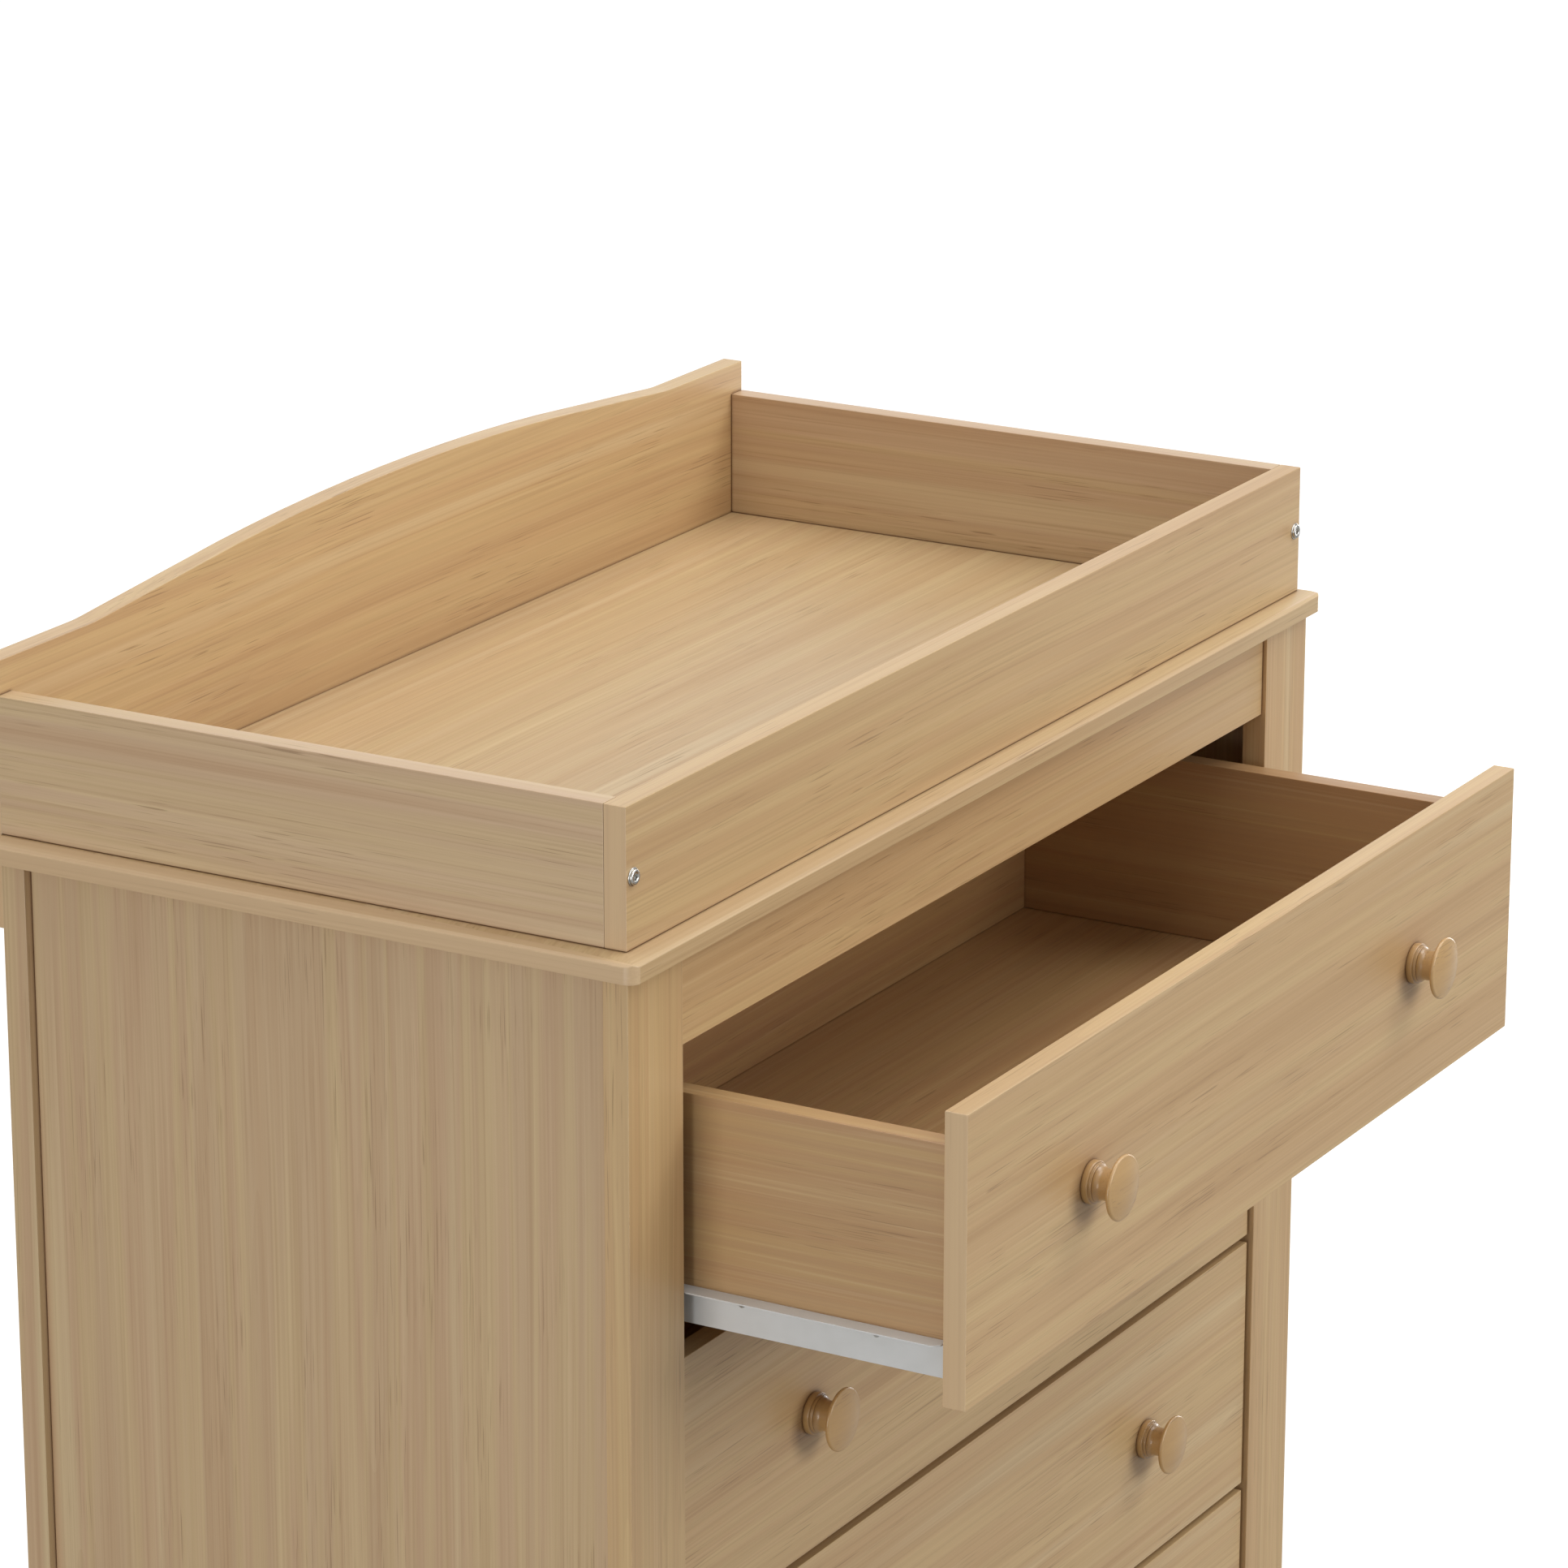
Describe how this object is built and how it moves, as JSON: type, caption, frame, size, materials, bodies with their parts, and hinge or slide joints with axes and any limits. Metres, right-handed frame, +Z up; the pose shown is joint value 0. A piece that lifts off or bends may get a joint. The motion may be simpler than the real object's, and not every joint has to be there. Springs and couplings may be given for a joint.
{
  "type": "changing dresser",
  "caption": "Wooden chest of drawers on roller runners, with turned knobs and a changing tray with an arched back fixed on top.",
  "frame": {"origin": "on the floor, in the middle of the width and of the whole depth from the open top drawer's knobs to the screw heads behind the tray", "axes": "+Z up, +Y towards the back, so that the drawers open towards -Y, and +X to the right of someone who faces the drawers"},
  "size_m": [0.9056, 0.6708, 1.0677],
  "materials": {
    "pale_wood": "clear satin lacquer over pale straight-grained softwood veneer",
    "drawer_wood": "thin clear lacquer over pale wood",
    "drawer_bottom_board": "thin board with a printed wood face",
    "back_fibreboard": "thin hardboard with a plain face",
    "runner_steel": "smooth white epoxy paint on pressed steel",
    "roller_nylon": "satin white nylon",
    "plated_screw": "bright nickel plate"
  },
  "bodies": {
    "cabinet": {"front_stile_left": "pale_wood", "front_stile_right": "pale_wood", "back_stile_left": "pale_wood", "back_stile_right": "pale_wood", "side_panel_left": "pale_wood", "side_panel_right": "pale_wood", "front_top_rail": "pale_wood", "front_bottom_rail": "pale_wood", "back_bottom_rail": "pale_wood", "back_top_rail": "pale_wood", "back_board": "back_fibreboard", "top_panel": "pale_wood", "tray_front": "pale_wood", "tray_side_left": "pale_wood", "tray_side_right": "pale_wood", "tray_back": "pale_wood", "tray_screws": "plated_screw", "runner_cleats": "drawer_wood", "cabinet_runners": "runner_steel"},
    "drawer_1": {"drawer_1_front": "pale_wood", "drawer_1_side_left": "drawer_wood", "drawer_1_side_right": "drawer_wood", "drawer_1_back": "drawer_wood", "drawer_1_bottom": "drawer_bottom_board", "drawer_1_knobs": "pale_wood", "drawer_1_runners": "runner_steel"},
    "drawer_1_rear_rollers": {"drawer_1_rear_rollers": "roller_nylon"},
    "drawer_1_front_rollers": {"drawer_1_front_rollers": "roller_nylon"},
    "drawer_2": {"drawer_2_front": "pale_wood", "drawer_2_side_left": "drawer_wood", "drawer_2_side_right": "drawer_wood", "drawer_2_back": "drawer_wood", "drawer_2_bottom": "drawer_bottom_board", "drawer_2_knobs": "pale_wood", "drawer_2_runners": "runner_steel"},
    "drawer_2_rear_rollers": {"drawer_2_rear_rollers": "roller_nylon"},
    "drawer_2_front_rollers": {"drawer_2_front_rollers": "roller_nylon"},
    "drawer_3": {"drawer_3_front": "pale_wood", "drawer_3_side_left": "drawer_wood", "drawer_3_side_right": "drawer_wood", "drawer_3_back": "drawer_wood", "drawer_3_bottom": "drawer_bottom_board", "drawer_3_knobs": "pale_wood", "drawer_3_runners": "runner_steel"},
    "drawer_3_rear_rollers": {"drawer_3_rear_rollers": "roller_nylon"},
    "drawer_3_front_rollers": {"drawer_3_front_rollers": "roller_nylon"},
    "drawer_4": {"drawer_4_front": "pale_wood", "drawer_4_side_left": "drawer_wood", "drawer_4_side_right": "drawer_wood", "drawer_4_back": "drawer_wood", "drawer_4_bottom": "drawer_bottom_board", "drawer_4_knobs": "pale_wood", "drawer_4_runners": "runner_steel"},
    "drawer_4_rear_rollers": {"drawer_4_rear_rollers": "roller_nylon"},
    "drawer_4_front_rollers": {"drawer_4_front_rollers": "roller_nylon"}
  },
  "joints": [
    {"name": "drawer_1_slide", "type": "slide", "parent": "cabinet", "child": "drawer_1", "axis": [0, -1, 0], "range_m": [-0.188, 0.072]},
    {"name": "drawer_1_rear_roller_axle", "type": "hinge", "parent": "drawer_1", "child": "drawer_1_rear_rollers", "pos_m": [0, 0.04215, 0.6993], "axis": [1, 0, 0], "continuous": true},
    {"name": "drawer_1_front_roller_axle", "type": "hinge", "parent": "cabinet", "child": "drawer_1_front_rollers", "pos_m": [0, -0.09385, 0.7031], "axis": [1, 0, 0], "continuous": true},
    {"name": "drawer_2_slide", "type": "slide", "parent": "cabinet", "child": "drawer_2", "axis": [0, -1, 0], "range_m": [0, 0.26]},
    {"name": "drawer_2_rear_roller_axle", "type": "hinge", "parent": "drawer_2", "child": "drawer_2_rear_rollers", "pos_m": [0, 0.23015, 0.5122], "axis": [1, 0, 0], "continuous": true},
    {"name": "drawer_2_front_roller_axle", "type": "hinge", "parent": "cabinet", "child": "drawer_2_front_rollers", "pos_m": [0, -0.09385, 0.516], "axis": [1, 0, 0], "continuous": true},
    {"name": "drawer_3_slide", "type": "slide", "parent": "cabinet", "child": "drawer_3", "axis": [0, -1, 0], "range_m": [0, 0.26]},
    {"name": "drawer_3_rear_roller_axle", "type": "hinge", "parent": "drawer_3", "child": "drawer_3_rear_rollers", "pos_m": [0, 0.23015, 0.3251], "axis": [1, 0, 0], "continuous": true},
    {"name": "drawer_3_front_roller_axle", "type": "hinge", "parent": "cabinet", "child": "drawer_3_front_rollers", "pos_m": [0, -0.09385, 0.3289], "axis": [1, 0, 0], "continuous": true},
    {"name": "drawer_4_slide", "type": "slide", "parent": "cabinet", "child": "drawer_4", "axis": [0, -1, 0], "range_m": [0, 0.26]},
    {"name": "drawer_4_rear_roller_axle", "type": "hinge", "parent": "drawer_4", "child": "drawer_4_rear_rollers", "pos_m": [0, 0.23015, 0.138], "axis": [1, 0, 0], "continuous": true},
    {"name": "drawer_4_front_roller_axle", "type": "hinge", "parent": "cabinet", "child": "drawer_4_front_rollers", "pos_m": [0, -0.09385, 0.1418], "axis": [1, 0, 0], "continuous": true}
  ],
  "couplings": [
    {"joint": "drawer_1_rear_roller_axle", "follows": "drawer_1_slide", "rad_per_m": 100},
    {"joint": "drawer_1_front_roller_axle", "follows": "drawer_1_slide", "rad_per_m": 105.26},
    {"joint": "drawer_2_rear_roller_axle", "follows": "drawer_2_slide", "rad_per_m": 100},
    {"joint": "drawer_2_front_roller_axle", "follows": "drawer_2_slide", "rad_per_m": 105.26},
    {"joint": "drawer_3_rear_roller_axle", "follows": "drawer_3_slide", "rad_per_m": 100},
    {"joint": "drawer_3_front_roller_axle", "follows": "drawer_3_slide", "rad_per_m": 105.26},
    {"joint": "drawer_4_rear_roller_axle", "follows": "drawer_4_slide", "rad_per_m": 100},
    {"joint": "drawer_4_front_roller_axle", "follows": "drawer_4_slide", "rad_per_m": 105.26}
  ]
}
